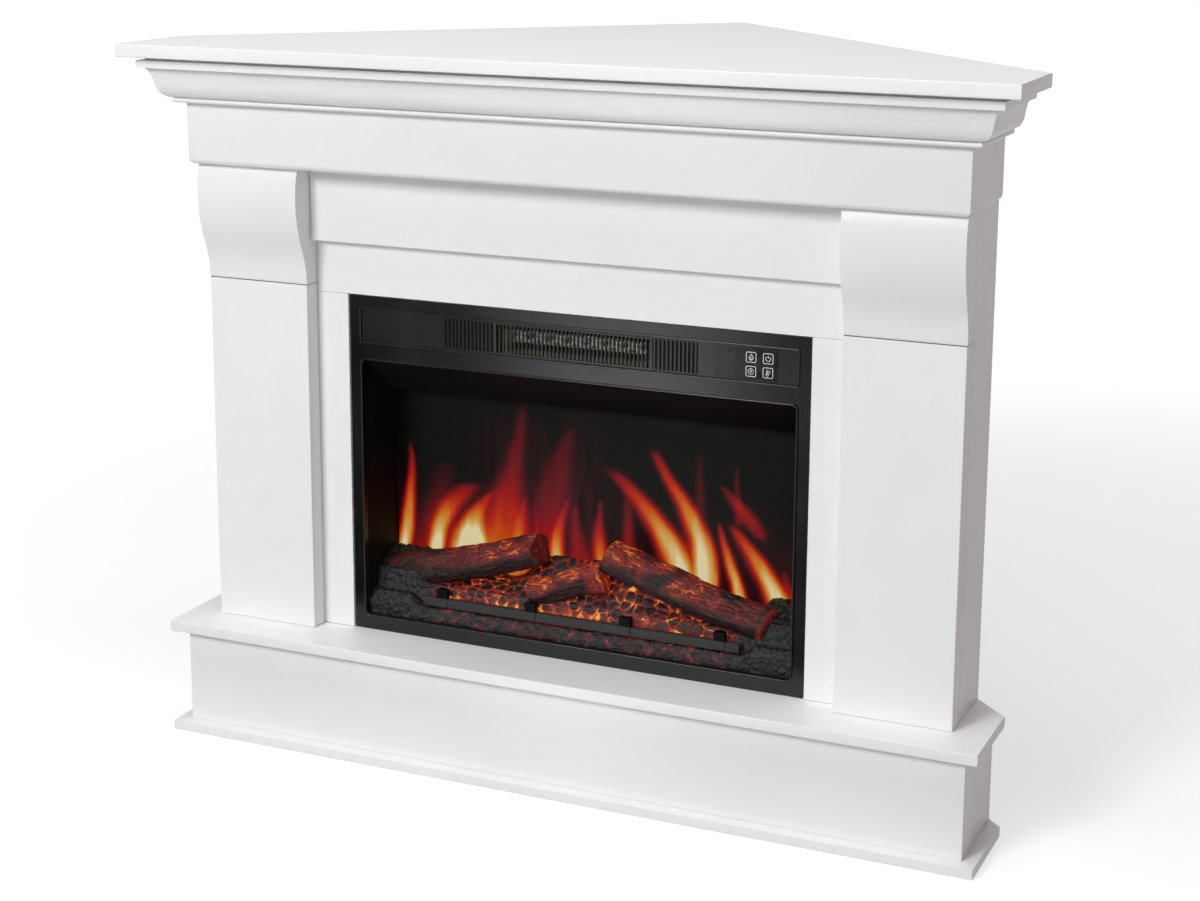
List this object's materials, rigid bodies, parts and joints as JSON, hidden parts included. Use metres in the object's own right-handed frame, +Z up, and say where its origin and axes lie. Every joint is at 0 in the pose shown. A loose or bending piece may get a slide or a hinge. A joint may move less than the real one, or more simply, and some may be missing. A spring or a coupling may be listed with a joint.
{
  "type": "corner electric fireplace",
  "caption": "White corner mantel with crown moulding, corbels and hearth, holding a black electric heater with logs, flame screen and warm-air grille.",
  "frame": {"origin": "middle of the footprint's bounding box, on the floor", "axes": "+X to the right seen from the front, +Y back into the room's corner, +Z up"},
  "size_m": [1.09, 0.684, 0.875],
  "materials": {
    "white_paint": "satin white paint on board",
    "raw_timber": "planed softwood",
    "black_enamel": "satin black enamel",
    "matt_black": "matt black paint",
    "black_plastic": "satin moulded plastic",
    "galvanised_sheet": "zinc coated sheet",
    "touch_glass": "gloss black panel",
    "smoked_screen": "smoked acrylic",
    "charred_log": "moulded resin logs, charred bark",
    "ember_coal": "moulded resin coals, glowing from below",
    "heater_wire": "resistance wire",
    "mica_board": "pressed mica",
    "bright_tin": "bright sheet",
    "circuit_board": "green circuit board"
  },
  "bodies": {
    "root": {"top_shelf": "white_paint", "crown_front": "white_paint", "crown_left": "white_paint", "crown_right": "white_paint", "frieze_front": "white_paint", "frieze_left": "white_paint", "frieze_right": "white_paint", "frieze_soffit": "white_paint", "corbel_left": "white_paint", "corbel_right": "white_paint", "pilaster_face_left": "white_paint", "pilaster_face_right": "white_paint", "pilaster_side_left": "white_paint", "pilaster_side_right": "white_paint", "surround_stile_left": "white_paint", "surround_stile_right": "white_paint", "header_lower": "white_paint", "header_upper": "white_paint", "hearth_slab": "white_paint", "plinth_front": "white_paint", "plinth_left": "white_paint", "plinth_right": "white_paint", "foot_moulding_front": "white_paint", "foot_moulding_left": "white_paint", "foot_moulding_right": "white_paint", "rail_upper_left": "raw_timber", "rail_upper_right": "raw_timber", "rail_lower_left": "raw_timber", "rail_lower_right": "raw_timber", "rear_post": "raw_timber", "trim_frame": "black_enamel", "control_strip": "black_plastic", "air_grille": "black_plastic", "touch_panel": "touch_glass", "control_board": "circuit_board", "casing_shell": "galvanised_sheet", "casing_back": "galvanised_sheet", "cord_gland": "black_plastic", "recess_cheek_left": "matt_black", "recess_cheek_right": "matt_black", "recess_ceiling": "matt_black", "flame_screen": "smoked_screen", "flame_cutter": "matt_black", "rotor_motor": "black_plastic", "rotor_bracket": "galvanised_sheet", "lamp_strip": "circuit_board", "heater_duct": "galvanised_sheet", "coil_frame": "mica_board", "heater_coil": "heater_wire", "blower_housing": "galvanised_sheet", "blower_motor": "matt_black", "log_left": "charred_log", "log_centre": "charred_log", "log_right": "charred_log", "ember_bed": "ember_coal", "grate_bar": "matt_black"},
    "blower": {"blower_wheel": "bright_tin"},
    "flicker": {"flicker_rotor": "bright_tin"}
  },
  "joints": [
    {"name": "blower_spin", "type": "hinge", "parent": "root", "child": "blower", "pos_m": [0, -0.1015, 0.4983], "axis": [1, 0, 0], "continuous": true},
    {"name": "flicker_spin", "type": "hinge", "parent": "root", "child": "flicker", "pos_m": [0, -0.0975, 0.2143], "axis": [1, 0, 0], "continuous": true}
  ]
}
